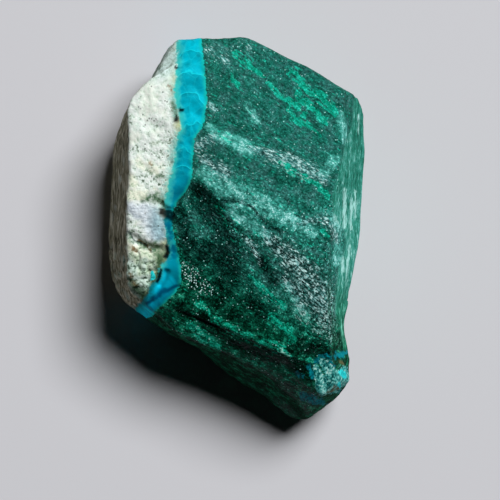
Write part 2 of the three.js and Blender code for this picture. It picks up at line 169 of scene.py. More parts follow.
# %% Lattice noise
def lattice_value(i, j, k, seed):
    """A repeatable random number from 0 to 1 for each lattice point, by whole-number mixing."""
    i, j, k = (v.astype(np.int64).astype(np.uint32) for v in (i, j, k))
    h = i * np.uint32(374761393) ^ j * np.uint32(668265263) ^ k * np.uint32(2147483647)
    h = h ^ np.uint32(seed * 1274126177 & 0xFFFFFFFF)
    h = (h ^ (h >> np.uint32(13))) * np.uint32(1274126177)
    h = (h ^ (h >> np.uint32(16))) * np.uint32(2246822519)
    return (h ^ (h >> np.uint32(15))) / 4294967295.0


def noise(x, y, z, seed):
    """Noise from -1 to 1: the eight lattice values round a point, blended by 6t^5 - 15t^4 + 10t^3."""
    cell = [np.floor(v) for v in (x, y, z)]
    part = [v - c for v, c in zip((x, y, z), cell)]
    u, v, w = (t * t * t * (t * (t * 6 - 15) + 10) for t in part)
    total = 0
    for a in (0, 1):
        for b in (0, 1):
            for c in (0, 1):
                weight = (u if a else 1 - u) * (v if b else 1 - v) * (w if c else 1 - w)
                total = total + weight * lattice_value(cell[0] + a, cell[1] + b, cell[2] + c, seed)
    return total * 2 - 1


def bumps(x, y, z, size, seed):
    """Noise whose bumps are about a size in millimetres each way."""
    return noise(x / size, y / size, z / size, seed)


def smooth(low, high, t):
    """0 below low, 1 above high, and the S curve 3s^2 - 2s^3 between."""
    s = np.clip((t - low) / (high - low), 0, 1)
    return s * s * (3 - 2 * s)


def smooth_max(a, b, k):
    """The greater of two values, with the corner between them rounded over a width of k."""
    return np.maximum(a, b) + np.maximum(k - np.abs(a - b), 0) ** 2 / (4 * k)


def falling_away(t):
    """0 at 0 and 1 from 1 on: a parabola 1 - (1 - t)^2 that leaves its start with a sharp edge."""
    return 1 - np.clip(1 - t, 0, 1) ** 2


def terraces(t, step):
    """Turns a smooth value into flat treads a step apart, joined by steep S-curve risers."""
    level = np.floor(t / step)
    return step * (level + smooth(0.35, 0.65, t / step - level))


spots = np.linspace(0, 4, 5)
print("noise along a line:", noise(spots, spots * 0.5, spots * 0.25, 1).round(2))

# %% [markdown]
# ## How far a point is outside the stone
#
# The stone is three convex blocks in one: the core, a shoulder of rock at the far left and the toe
# at the near right. A point's distance outside a block is the greatest of its distances outside
# the block's walls and tops. Outside the stone means outside all three, so the least of them counts.

# %% The solid as a function
def outside_wall(wall, x, y, z):
    """The distance outside a wall: from its belly line, blended into its rim line with height."""
    (bx, by, b_azimuth), belly_height, (rx, ry, r_azimuth), rim_height, under, _ = wall
    b_angle, r_angle = math.radians(b_azimuth), math.radians(r_azimuth)
    from_belly = (x - bx) * math.cos(b_angle) + (y - by) * math.sin(b_angle)
    from_rim = (x - rx) * math.cos(r_angle) + (y - ry) * math.sin(r_angle)
    share = np.clip((z - belly_height) / (rim_height - belly_height), 0, 1.4)
    return from_belly + (from_rim - from_belly) * share + np.maximum(belly_height - z, 0) * under


def above_top(top, x, y, z):
    """The distance above a plane through a point that falls by slope for each millimetre of run."""
    (tx, ty, tz), falls, slope, _ = top
    run = (x - tx) * falls[0] + (y - ty) * falls[1]
    return (z - tz + run * slope) / math.hypot(1, slope)


def outside_block(block, x, y, z):
    """The smooth greatest of the distances outside one block's walls and tops."""
    far = np.full_like(x, -1e3)
    for distance, faces in ((outside_wall, WALLS), (above_top, TOPS)):
        for face in faces:
            if block in face[-1]:
                far = smooth_max(far, distance(face, x, y, z), EDGE_ROUND)
    if block == TOE:
        far = smooth_max(far, (y - TOE_BACK_Y) * TOE_BACK_SLOPE, EDGE_ROUND)
    return far


def outside(p):
    """The distance outside the stone. Slow noise bends space first, so that no break is quite flat."""
    x, y, z = p.T
    bent = [0.4 * bumps(x, y, z, 8, seed) + 0.18 * bumps(x, y, z, 3, seed + 9) for seed in (1, 2, 3)]
    blocks = [outside_block(block, x + bent[0], y + bent[1], z + 0.4 * bent[2]) for block in ALL]
    return np.maximum(np.minimum.reduce(blocks), -z)


print("the heart is", -outside(HEART[None])[0].round(2), "mm inside the stone")

# %% [markdown]
# ## Relief
#
# Named marks come first, then each mineral breaks in its own way: malachite in long splinters along
# its fibres, azurite in smooth swollen lobes, and the host rock in lumps and pits.

# %% Relief of the named marks
def along_piece(x, y, dx, dy):
    """The distance to a straight line from (0, 0) to (dx, dy), and the share of it passed."""
    t = np.clip((x * dx + y * dy) / (dx * dx + dy * dy), 0, 1)
    return np.hypot(x - t * dx, y - t * dy), t


def along_line(line, x, y):
    """The distance to a line of points, its side (right 1, left -1), and the share of it passed."""
    gap, side, share = np.full_like(x, np.inf), np.ones_like(x), np.zeros_like(x)
    for n, ((x0, y0), (x1, y1)) in enumerate(zip(line, line[1:])):
        here, t = along_piece(x - x0, y - y0, x1 - x0, y1 - y0)
        nearer = here < gap
        gap = np.where(nearer, here, gap)
        side = np.where(nearer, np.where((x - x0) * (y1 - y0) - (y - y0) * (x1 - x0) >= 0, 1, -1), side)
        share = np.where(nearer, (n + t) / (len(line) - 1), share)
    return gap, side, share


def placed_relief(x, y, green):
    """Height in millimetres of the crest's step, the two ledges and the grooves, by place in plan.

    A step is a sharp or an S-shaped drop beside its line that levels out again further off.
    """
    gap, side, share = along_line(CREST_LINE, x, y)
    whole = 1 - smooth(0.25, 0.8, share)
    step = CREST_STEP * whole * green * falling_away(gap / CREST_RUN) * (1 - smooth(2.5, 9, gap))
    height = np.where(side > 0, -step, 0)
    gap, side, share = along_line(UPPER_LEDGE, x, y)
    right = gap * side
    height += 0.35 * green * smooth(-0.2, 0.4, right) * (1 - smooth(1, 5, right)) * smooth(0, 0.08, share)
    gap, side, _ = along_line(LOWER_LEDGE, x, y)
    right = gap * side
    height -= 0.25 * smooth(-0.1, 0.4, right) * (1 - smooth(1, 4, right))
    for line, width, depth in GROOVES:
        gap, _, share = along_line(line, x, y)
        ends = smooth(-0.05, 0.2, share) * (1 - smooth(0.85, 1.1, share))
        height -= depth * np.exp(-((gap / width) ** 2) * 2) * ends
    return height


def dents(x, y, z):
    """Depth in millimetres of the dents: a bell curve of the distance from each one's place."""
    depth = 0
    for dx, dy, dz, radius, deepest in DENTS:
        depth = depth + deepest * np.exp(-((x - dx) ** 2 + (y - dy) ** 2 + (z - dz) ** 2) / radius**2 * 2)
    return depth


print("deepest groove:", max(depth for _, _, depth in GROOVES), "mm")

# %% Where each mineral is
def x_of_line(line, y):
    """The x at each y of a line of points that runs from the far end to the near end."""
    xs, ys = zip(*reversed(line))
    return np.interp(y, ys, xs)


def vein_gaps(x, y, z):
    """Distances in millimetres to the right of the vein's left face and of its right face."""
    dip = VEIN_DIP * (CREST_HEIGHT - z)
    return x - x_of_line(VEIN_LEFT, y) + dip, x - x_of_line(VEIN_RIGHT, y) + dip


def minerals(x, y, z):
    """How much rock, malachite and azurite each point has: 1 inside the mineral and 0 outside."""
    left_gap, right_gap = vein_gaps(x, y, z)
    rock = 1 - smooth(-0.3, 0.3, left_gap)
    green = smooth(-0.3, 0.3, right_gap)
    return rock, green, np.clip(1 - rock - green, 0, 1)


def along_fibres(x, y):
    """A point's place along and across the fibres: lines y = n - slope * x, whose slope swings with n."""
    n = y + FIBRE_SLOPE * x
    for _ in range(6):
        wave = np.cos((n - STEEPEST_Y) * 2 * math.pi / SWING_LENGTH)
        n = y + x * (FIBRE_SLOPE + SLOPE_SWING * wave)
    return 0.82 * x - 0.57 * y, 0.82 * n


def on_east_side(x, y):
    """1 right of the ridge where the top meets the smooth east side, and 0 left of it."""
    return smooth(-0.2, 0.2, x - x_of_line(EAST_RIDGE, y))


def vein_lobes(left_gap, right_gap, x, y, z):
    """The count of lobes up the vein. A lobe's edge bows with the square of the place across the vein."""
    across = (left_gap + right_gap) / np.maximum(left_gap - right_gap, 0.3)
    return (y + 0.7 * bumps(x, y, z, 3, 41)) / LOBE_LENGTH + 0.4 * np.clip(across, -1, 1) ** 2


left_gap, right_gap = vein_gaps(np.zeros(1), np.full(1, 15.0), CREST_HEIGHT)
print("the vein is", (left_gap - right_gap).round(2)[0], "mm wide near its far end")

# %% Relief of each mineral
def broken_relief(x, y, z):
    """Raise in millimetres: low ledges on malachite, lumps and pits on rock, lobes on the vein."""
    rock, green, vein = minerals(x, y, z)
    along, across = along_fibres(x, y)
    wide_ledge = terraces(noise(along / 7, across / 2.4, z / 2.4, 21), 0.3)
    thin_ledge = terraces(noise(along / 2.8, across / 0.9, z / 0.9, 22), 0.3)
    hair = noise(along / 1.1, across / 0.28, z / 0.35, 23)
    grain = bumps(x, y, z, 0.35, 24)
    rib = noise(x / 0.5, y / 5, z / 0.7, 26)
    east = on_east_side(x, y)
    lump = bumps(x, y, z, 2.1, 31)
    small_lump = bumps(x, y, z, 0.85, 32)
    pit = np.maximum(0, bumps(x, y, z, 1.5, 33) - 0.35)
    crumbs = 1 - np.abs(bumps(x, y, z, 1.1, 34)) * 3
    broken = 1 - smooth(-3.5, -0.5, y)
    on_top = 0.08 * wide_ledge + 0.07 * thin_ledge + 0.03 * hair + 0.03 * grain
    on_green = (1 - east) * on_top + east * 0.12 * rib
    on_rock = (0.07 + 0.06 * broken) * lump + 0.06 * small_lump - 0.25 * pit + 0.05 * grain
    on_rock = on_rock - 0.22 * broken * np.maximum(crumbs, 0)
    lobe = np.abs(np.sin(math.pi * vein_lobes(*vein_gaps(x, y, z), x, y, z)))
    on_vein = 0.13 * lobe - 0.05 + 0.04 * small_lump
    return green * on_green + rock * on_rock + vein * on_vein


TOP_SPOT = np.array([[2.0, 8.0, 16.0]])
print("relief at one spot:", broken_relief(*TOP_SPOT.T).round(3)[0], "mm")

# %% [markdown]
# ## From rays to a mesh
#
# Every ray from the stone's heart meets the surface once. A grid on the six sides of a box sends the
# rays out evenly, which a globe's grid would not: it crowds them at its poles. Where two sides meet
# they share their points.

# %% Find the surface along the rays
def reach(directions):
    """How far along each ray the surface is, by false position on a bracket, in units of the cage."""
    low, high = np.full(len(directions), 0.35), np.full(len(directions), 1.8)
    f_low, f_high = outside(HEART + low[:, None] * directions), outside(HEART + high[:, None] * directions)
    for step in range(14):
        share = 0.5 if step < 4 else np.clip(f_low / (f_low - f_high), 0.02, 0.98)
        middle = low + (high - low) * share
        f = outside(HEART + middle[:, None] * directions)
        out = f > 0
        f_low = np.where(out, np.where(step > 4, f_low * 0.5, f_low), f)
        f_high = np.where(out, f, np.where(step > 4, f_high * 0.5, f_high))
        low, high = np.where(out, low, middle), np.where(out, middle, high)
    return (low + high) / 2


def surface(directions):
    """The stone's surface: the point that a ray reaches, moved along the normal by the relief there."""
    p = HEART + reach(directions)[:, None] * directions
    near = 0.15
    normal = np.stack([outside(p + near * axis) - outside(p - near * axis) for axis in np.eye(3)], axis=1)
    normal /= np.linalg.norm(normal, axis=1, keepdims=True)
    x, y, z = p.T
    _, green, _ = minerals(x, y, z)
    raise_by = broken_relief(x, y, z) - dents(x, y, z)
    raise_by = raise_by + smooth(0.45, 0.8, normal[:, 2]) * placed_relief(x, y, green)
    p = p + normal * (raise_by * smooth(0, 1.2, z))[:, None]
    p[:, 2] = np.maximum(p[:, 2], 0)
    return p


GRID = (150, 225, 36)  # cells of the cage along X, Y and Z


def cage_side(axis, sign):
    """Rays through one side of the cage, on a grid over its two axes, and the quads between them."""
    a, b = [n for n in range(3) if n != axis]
    steps_a, steps_b = np.linspace(-1, 1, GRID[a] + 1), np.linspace(-1, 1, GRID[b] + 1)
    across, up = np.meshgrid(steps_a, steps_b)
    rays = np.empty((across.size, 3))
    rays[:, axis], rays[:, a], rays[:, b] = sign, across.ravel(), up.ravel()
    n = (np.arange(GRID[b])[:, None] * (GRID[a] + 1) + np.arange(GRID[a])).ravel()
    quads = np.stack([n, n + 1, n + GRID[a] + 2, n + GRID[a] + 1], axis=1)
    facing = sign * (-1 if axis == 1 else 1)
    return rays * CAGE, quads if facing > 0 else quads[:, ::-1]


def weld(rays, quads):
    """Joins the points that two sides share: equal rays become one point."""
    keys = np.round(rays / CAGE * 1e6).astype(np.int64)
    _, first, same = np.unique(keys, axis=0, return_index=True, return_inverse=True)
    return rays[first], same.ravel()[quads]


print("the surface there:", surface(TOP_SPOT - HEART).round(2)[0], "mm")

# %% Build the stone
rays, quads = np.empty((0, 3)), np.empty((0, 4), int)
for axis in range(3):
    for sign in (-1, 1):
        side_rays, side_quads = cage_side(axis, sign)
        quads = np.concatenate([quads, side_quads + len(rays)])
        rays = np.concatenate([rays, side_rays])
rays, quads = weld(rays, quads)
points = surface(rays)
plan_middle = (points.min(0) + points.max(0)) / 2
cad_middle = np.array((cad_low + cad_high) / 2) / MM
to_middle = (cad_middle - plan_middle)[:2]  # centres the stone on the CAD model's middle
points[:, :2] += to_middle
print("stone:", len(points), "points,", len(quads) * 2, "triangles")
print("its box in mm:", (points.max(0) - points.min(0)).round(2))


def mesh_object(name, points, faces):
    """A mesh object at the origin, from points in millimetres and an array of faces."""
    mesh = bpy.data.meshes.new(name)
    mesh.from_pydata((points * MM).tolist(), [], faces.tolist())
    mesh.update()
    mesh.shade_smooth()
    piece = bpy.data.objects.new(name, mesh)
    bpy.context.scene.collection.objects.link(piece)
    return piece


stone = mesh_object("stone", points, quads)

# %% [markdown]
# ## Where the minerals change
#
# The shader has to know where painted sheen, painted glitter and dark malachite with painted shade
# lie on the malachite, and where the rock is stained or has painted shade in its pits. A painted
# picture could say so, but it would blur close up. Here each mark is a few brush strokes in plan,
# kept as a value on the mesh's points. Every point of a stroke has its own half width, so a stroke
# swells and tapers.

# %% Strokes on the malachite: (x, y, half width) in millimetres
STROKES = {}
STROKES["silk"] = [  # painted sheen: pale mint where the fibres would catch the light
    [(-3.5, 12, 0.35), (-1.7, 10.8, 0.6), (-0.1, 10.1, 0.95), (1.8, 9.2, 0.95)],
    [(-3.9, 6.7, 0.8), (-1.4, 4.8, 1.3), (1.6, 3.4, 1.4), (5.7, 1.5, 1.15), (8.8, -0.4, 0.7)],
    [(-1, 2.2, 0.6), (1.8, 0.4, 0.7), (3.7, -0.8, 0.45)], [(10.4, 6.7, 0.7), (11.5, 8.3, 0.6)],
    [(12.3, 13.7, 0.45), (12.6, 10.5, 0.45)], [(1.5, 14.5, 0.5), (2.2, 13, 0.6)],
    [(4.9, -14.1, 0.35), (6.1, -14.7, 0.35)], [(5.8, -6.6, 0.45), (7.9, -9.8, 0.8)],
    [(11, 1.6, 0.6), (12.4, -0.8, 0.6), (11.7, -3.9, 0.6)], [(12.8, 4.6, 0.3), (12.8, 0.3, 0.35)],
    [(13.7, 3.6, 0.22), (13.7, 0.1, 0.22)], [(14.2, 4.6, 0.2), (14.2, 1.5, 0.2)],
    [(14.5, 13.7, 0.15), (14.6, 11.4, 0.15)], [(12.6, -3.4, 0.3), (12.6, -4.9, 0.3)],
    [(13.2, -4.6, 0.25), (13.1, -6.1, 0.25)], [(12.6, -10.9, 0.3), (12.6, -13.3, 0.25)],
    [(13.5, -2, 0.2), (13.2, -4.4, 0.2)],
]
STROKES["silver"] = [  # painted glints: grains that catch the light
    [(1.8, 9.4, 0.6), (5.7, 8.1, 0.95), (8.6, 6.8, 1.05), (10.5, 5.8, 0.7)],
    [(-3.6, 14.7, 0.45), (-2.4, 13.9, 0.35)], [(-3.3, 21, 0.45), (-1.2, 19.9, 0.6)],
    [(0.6, 21.9, 0.35), (1.6, 21.3, 0.35)], [(-4.5, 9.6, 0.7), (-2.6, 10.6, 0.6)],
    [(-3.8, 8.1, 0.8), (-1.2, 6.5, 0.8)],
    [(3.9, -1.1, 0.8), (7.5, -4.6, 1.7), (9.6, -8.1, 2), (10.8, -11.3, 1.3)],
    [(5.6, -5.5, 0.5), (7.2, -7.4, 0.9), (7.9, -10, 1)], [(9.6, -11.9, 0.7), (11.7, -13.3, 0.6)],
    [(3, 0.1, 0.35), (4.2, -1.3, 0.45)], [(1, -1, 0.3), (2.2, -2.4, 0.4), (2.8, -4, 0.35)],
    [(7.4, 0.8, 0.35), (9.4, 1.1, 0.5), (11, 0.7, 0.5), (11.9, -1.4, 0.45)],
]
STROKES["glitter"] = [  # painted glitter: the brightest cluster of glinting grains
    [(-6, -4.3, 0.6), (-5.2, -5.6, 1.2), (-4.2, -6.5, 1.2), (-3.2, -7.1, 0.6)],
]
STROKES["vivid"] = [  # clean, bright green
    [(-1, 21.6, 0.2), (0.4, 20.1, 0.4), (1.8, 18.9, 0.45), (3, 18, 0.35)],
    [(3.5, 17.3, 0.3), (5.1, 15.7, 0.4), (7, 14.2, 0.45)],
    [(6.1, 18.9, 0.35), (7.5, 17, 0.7), (9.8, 15.4, 0.7), (11.7, 13.7, 0.45)],
    [(7.2, 15.7, 0.6), (9.6, 13.4, 0.6), (10.6, 12.5, 0.35)], [(6.1, 13.7, 0.35), (7.5, 12.1, 0.45)],
    [(8, 12.3, 0.3), (10, 10.9, 0.35)], [(-0.5, 17.7, 0.3), (0.2, 16.9, 0.35)],
    [(-2.2, 11.4, 0.2), (-0.7, 10.1, 0.25)],
    [(5.3, 7.8, 0.45), (7.5, 6.3, 0.35), (9.6, 5.2, 0.35), (10.6, 3.8, 0.45)],
    [(10.1, -0.3, 0.55), (10.5, -0.7, 0.5)],
    [(-4.1, -8.4, 0.3), (-3.4, -9.9, 0.35), (-2.3, -10.9, 0.55), (-1, -11.7, 0.6), (0.7, -12.2, 0.65),
     (1.8, -12.9, 0.45)],
    [(3, -13.2, 0.6), (5.1, -14, 0.7), (6.3, -14.9, 0.35)],
    [(4.2, -10.2, 0.45), (5.8, -11.6, 0.7), (6.5, -13, 0.45)],
    [(1.4, -5.5, 0.35), (3.7, -7.5, 0.45), (5.6, -9.4, 0.35)],
    [(-5.6, -11.2, 0.5), (-4, -12.6, 0.8), (-2, -14.2, 0.5)], [(-4.8, -8.6, 0.35), (-3.6, -9.5, 0.45)],
    [(7.5, 13, 0.35), (8.6, 14.5, 0.35)], [(8.3, -15.5, 0.3), (8.7, -15.6, 0.3)],
    [(-2.3, 3, 0.2), (-1.7, 1.6, 0.25), (-1.2, 0.4, 0.2)], [(-7.2, 0.2, 0.15), (-7, -0.8, 0.2)],
    [(-6.7, -2.4, 0.2), (-6.3, -3.2, 0.25)],
]
STROKES["shade"] = [  # dark malachite, and painted shade below the crest and the ledges
    [(-6.6, 2.6, 0.6), (-6.2, 0.2, 0.9), (-6, -2.4, 1)],
    [(-4.9, 4.4, 0.7), (-3.6, 3.2, 1.3), (-2.2, 1.4, 1.6), (-1.4, -0.8, 1.2)],
    [(-4.6, 5.1, 0.45), (-3, 3.5, 0.7), (-1.2, 0.8, 0.95), (-0.9, -2.2, 1.35), (-0.9, -5.2, 1.5),
     (-1.7, -7.9, 1.2)],
    [(-5.9, -0.8, 0.8), (-3.8, -3.2, 0.95)], [(7.2, -13.5, 0.95), (10.3, -14.5, 0.8)],
    [(-6.2, -3.5, 0.8), (-5.2, -5.4, 1.3), (-3.6, -7.6, 1.1), (-1.5, -9.2, 0.9)],
    [(-6.5, -9, 0.7), (-3.5, -11, 0.7), (0, -13.2, 0.8), (4, -15.2, 0.7)],
    [(2.8, -14.8, 0.45), (6.1, -15.7, 0.6), (8.6, -17, 0.7)], [(3, -3.9, 0.6), (4.5, -6, 0.6)],
    [(1.4, -8.3, 0.95), (3, -10.5, 0.8)], [(-3.6, -1.8, 0.8), (-2, -3, 1.3), (-0.8, -4.2, 1.2)],
    [(-1, -9.8, 0.6), (0.8, -10.6, 0.7)],
]
print(len(STROKES), "kinds of mark on the malachite")

# %% Strokes on the rock and at the tip
STROKES["stain"] = [  # rusty brown, with one crack that crosses the rock
    [(-7.8, 16.9, 0.18), (-7.5, 16, 0.18)], [(-10.2, 7.9, 0.15), (-9.9, 7.4, 0.15)],
    [(-11.6, -1.2, 0.2), (-10.2, -2.3, 0.25), (-9.7, -2.7, 0.15)],
    [(-12.2, -2.2, 0.25), (-11.6, -2.5, 0.2)], [(-12.4, -5.5, 0.25), (-11.7, -6.5, 0.25)],
    [(12.5, -15.8, 0.22), (12.7, -16.2, 0.22)], [(10.8, -19.4, 0.25), (12.4, -18.7, 0.25)],
]
STROKES["moss"] = [  # dark grey-green where ore seeped into the rock; the stroke at (-13, -0.9) is painted shade
    [(-7.6, 14.6, 0.3), (-7.1, 13.2, 0.3)], [(-10, 18.3, 0.35), (-9.3, 19.5, 0.3), (-8.5, 20.8, 0.2)],
    [(-9.3, -2, 0.5), (-8.8, -3.4, 0.5), (-9, -4.6, 0.4)],
    [(-10.7, 3.5, 0.4), (-9.8, 3.9, 0.5), (-8.8, 3.3, 0.5), (-8.2, 2.4, 0.3)],
    [(-13, -0.9, 0.25), (-12.2, -1.6, 0.35)], [(-11.9, -1.4, 0.2), (-10.6, -2.3, 0.4), (-9.4, -2.2, 0.3)],
    [(-12.6, -6, 0.3), (-11.6, -7.3, 0.5), (-10.6, -8.4, 0.5)],
    [(-9.2, -5.3, 0.3), (-9.5, -6.6, 0.35), (-10.3, -7.9, 0.4)], [(-10.5, 7, 0.12), (-9.9, 6.4, 0.15)],
    [(-9.2, 6, 0.25), (-8.7, 6.3, 0.2)],
]
STROKES["chalk"] = [  # smooth bluish white
    [(-12.2, 2.2, 0.9), (-10.3, 1.7, 1.3), (-9.4, 0.6, 1.5), (-9.2, -0.7, 1.1)],
]
STROKES["pits"] = [  # painted shade in the hollows by the vein
    [(-7.1, 19, 0.15), (-7, 18.8, 0.15)], [(-6.6, 14, 0.25), (-6.2, 14, 0.25)],
    [(-7, 13.2, 0.2), (-7, 12.7, 0.2)], [(-8.7, 2.1, 0.5), (-8.2, 1.8, 0.75), (-7.6, 1.6, 0.7)],
    [(-8.2, -2.3, 0.25), (-8.3, -3.2, 0.25)], [(-8.9, -4.9, 0.15), (-9.1, -5.5, 0.25), (-9.1, -6.3, 0.2)],
]
STROKES["specks"] = [  # patches of small black grains
    [(-10.2, 16.6, 0.45), (-8.3, 14.8, 0.45)], [(-10.9, 9.8, 0.45), (-9, 8.9, 0.6)],
    [(-10.2, 12.8, 0.6), (-11.3, 14, 0.45)], [(-10.2, 6.9, 0.45), (-9, 5.2, 0.6)],
]
STROKES["blue"] = [  # blue ore away from the vein
    [(11.9, -14.9, 0.45), (13.1, -14.8, 0.4)], [(9.3, -15.6, 0.45), (11.2, -16.1, 0.45)],
    [(7, -16.9, 0.35), (7.7, -17.5, 0.35)], [(7.8, -19.9, 0.7), (10.3, -20.7, 0.45)],
    [(9.6, -17.7, 0.25), (10.3, -19.2, 0.35)], [(9.9, -15, 0.35), (11, -15.2, 0.4)],
    [(8.6, -16.2, 0.35), (9, -17.6, 0.35)],
]
STROKES["turquoise_and_highlight"] = [  # the brightest spots of blue ore, and a painted highlight by the vein at (-9.9, -5.3)
    [(12.7, -17.2, 0.55), (12.9, -17.6, 0.45)], [(12.1, -18.5, 0.3), (12.4, -18.7, 0.28)],
    [(-9.9, -5.3, 0.3), (-9.8, -6, 0.35)],
]
STROKES["crust"] = [  # pale broken grains at the tip
    [(9.5, -16.6, 0.4), (9.9, -17.8, 0.7), (10.1, -19.2, 0.7), (12.1, -19.2, 0.5)],
    [(10.8, -16.5, 0.6), (12, -17.5, 0.8), (12.8, -18.4, 0.6)], [(12.9, -16.9, 0.5), (13.4, -17.9, 0.6)],
    [(11, -17.4, 0.5), (11.5, -18.5, 0.6)], [(10.2, -15.8, 0.3), (10.5, -15.9, 0.3)],
]
print(len(STROKES), "kinds of mark in all,", sum(map(len, STROKES.values())), "strokes")

# %% Put the values on the mesh
def stroked(strokes, x, y, solid, gone):
    """1 on the strokes and 0 off them.

    The gap to a stroke is taken in half widths: the value is 1 up to solid, and 0 from gone on.
    """
    value = np.zeros_like(x)
    for stroke in strokes:
        for (x0, y0, w0), (x1, y1, w1) in zip(stroke, stroke[1:]):
            gap, t = along_piece(x - x0, y - y0, x1 - x0, y1 - y0)
            value = np.maximum(value, 1 - smooth(solid, gone, gap / (w0 + (w1 - w0) * t)))
    return value


def put(name, values):
    """Stores one number for each point of the stone under a name."""
    layer = stone.data.attributes.new(name, "FLOAT", "POINT")
    layer.data.foreach_set("value", values.astype(np.float32))
    print(name, "mean", round(float(values.mean()), 3))


SOFT_EDGED = ("silver", "shade", "moss", "blue", "crust")
OVER_THE_EDGE = ("blue", "turquoise_and_highlight", "crust")  # these go down the walls too, and the rest stay on top
x, y, z = (points - [*to_middle, 0]).T
normals = np.empty(len(points) * 3, np.float32)
stone.data.vertex_normals.foreach_get("vector", normals)
upness = normals[2::3]
east = on_east_side(x, y)
waves = [0.3 * bumps(x, y, z, 0.9, seed) + 0.12 * bumps(x, y, z, 0.35, seed + 1) for seed in (51, 53)]
wavy_x, wavy_y = x + (1 - 0.85 * east) * waves[0], y + (1 - 0.85 * east) * waves[1]
for name, strokes in STROKES.items():
    solid, gone = (0.2, 1.8) if name in SOFT_EDGED else (0.5, 1.35)
    lowest, whole = (-0.5, -0.1) if name in OVER_THE_EDGE else (0.0, 0.35)
    put(name, stroked(strokes, wavy_x, wavy_y, solid, gone) * smooth(lowest, whole, upness))

# %% Put the minerals' places on the mesh
NO_CRACK = 9.0  # a gap so wide that no crack shows
crack_gap = np.minimum.reduce([along_line(line, wavy_x, wavy_y)[0] for line in CRACKS])
put("crack", np.where(upness > 0.3, crack_gap, NO_CRACK))
left_gap, right_gap = vein_gaps(x, y, z)
put("vein_left", left_gap)
put("vein_right", right_gap)
wall = 1 - smooth(0.35, 0.6, upness)
put("wall", wall)
put("lobes", vein_lobes(left_gap, right_gap, x, y, z) - wall * (CREST_HEIGHT - z) / LOBE_LENGTH)
put("east", east)
along, across = along_fibres(x, y)  # the east side's fibres run along y
put("along", np.where(east > 0.5, 1.2 * y, along))
put("across", np.where(east > 0.5, 1.3 * x, across))

# %% [markdown]
# ## Helpers for shader nodes
#
# A shader is a chain of small steps, and a helper for each kind of step keeps it to one line. They
# all add to the node tree that work_in() was last given. A share is a value from 0 to 1.


# %% Node helpers
def work_in(tree):
    """The helpers add their nodes and links to this tree from here on."""
    global nodes, links
    nodes, links = tree.nodes, tree.links


def fill(inputs, sockets):
    """Fills each input named: a number or a colour is set, and a socket is linked."""
    for name, value in sockets.items():
        if isinstance(value, bpy.types.NodeSocket):
            links.new(value, inputs[name])
        else:
            inputs[name].default_value = value


def add(kind, sockets=None, **settings):
    """Makes a node, fills the inputs named, and gives back its outputs."""
    made = nodes.new("ShaderNode" + kind)
    for name, setting in settings.items():
        setattr(made, name, setting)
    fill(made.inputs, sockets or {})
    return made.outputs


def done(what):
    print(what, "done:", len(nodes), "nodes")


def calc(operation, *values):
    return add("Math", dict(enumerate(values)), operation=operation)[0]


def times(a, b):
    return calc("MULTIPLY", a, b)


def linear(value, slope, start):
    """The value times slope, plus start."""
    return calc("MULTIPLY_ADD", value, slope, start)


def most(a, b):
    return calc("MAXIMUM", a, b)


def rest(share):
    """What a share leaves: 1 minus it."""
    return calc("SUBTRACT", 1.0, share)


def swayed(value, *patterns):
    """Raises a value where a pattern is above 0.5 and lowers it below, each by its weight."""
    for pattern, weight in patterns:
        value = linear(calc("SUBTRACT", pattern, 0.5), weight, value)
    return value


def fade(value, low, high, start=0.0, end=1.0):
    """start below low, end above high, and an S curve between."""
    sockets = {"Value": value, "From Min": low, "From Max": high, "To Min": start, "To Max": end}
    return add("MapRange", sockets, interpolation_type="SMOOTHSTEP")[0]


def mix(share, a, b):
    """Value a where share is 0 and value b where it is 1."""
    return add("Mix", {0: share, 2: a, 3: b}, data_type="FLOAT")[0]


def blend(share, a, b, how="MIX"):
    """Colour a where share is 0 and colour b where it is 1."""
    a, b = ((*colour, 1) if isinstance(colour, tuple) else colour for colour in (a, b))
    return add("Mix", {0: share, 6: a, 7: b}, data_type="RGBA", blend_type=how)[2]


def tint(share, colour, by):
    """The colour times another one, as far as the share says."""
    return blend(share, colour, by, "MULTIPLY")


def ramp(value, stops):
    """A colour for each value, blended between stops given as (value, colour)."""
    made = add("ValToRGB", {"Fac": value})[0]
    elements = made.node.color_ramp.elements
    for _ in stops[2:]:
        elements.new(0.5)
    for element, (at, colour) in zip(elements, stops):
        element.position, element.color = at, (*colour, 1)
    return made


def stretch(place, scale):
    return add("Mapping", {"Vector": place, "Scale": scale})[0]


def axes(place):
    return add("SeparateXYZ", {"Vector": place})


def clouds(place, size, detail=2.0):
    """Cloudy noise from 0 to 1, about a size in millimetres."""
    return add("TexNoise", {"Vector": place, "Scale": 1 / size, "Detail": detail, "Roughness": 0.55})[0]


def cells(place, size, **settings):
    """Cells round scattered points, about a size in millimetres."""
    return add("TexVoronoi", {"Vector": place, "Scale": 1 / size}, **settings)


def chances(cell):
    """Three random numbers from 0 to 1 for each cell."""
    return add("SeparateColor", {"Color": cell["Color"]})


def start_group(name, vectors, values):
    """Starts an empty node group, and gives back its inputs."""
    group = bpy.data.node_groups.new(name, "ShaderNodeTree")
    work_in(group)
    for names, kind in ((vectors, "Vector"), (values, "Float")):
        for socket in names.split():
            group.interface.new_socket(socket, in_out="INPUT", socket_type="NodeSocket" + kind)
    print("group", name, "takes", vectors, values)
    return nodes.new("NodeGroupInput").outputs[:-1]


def end_group(**results):
    """Ends that group with what goes out, by name."""
    group = nodes.id_data
    for name, socket in results.items():
        group.interface.new_socket(name, in_out="OUTPUT", socket_type=socket.bl_idname)
    fill(nodes.new("NodeGroupOutput").inputs, results)
    done(group.name)
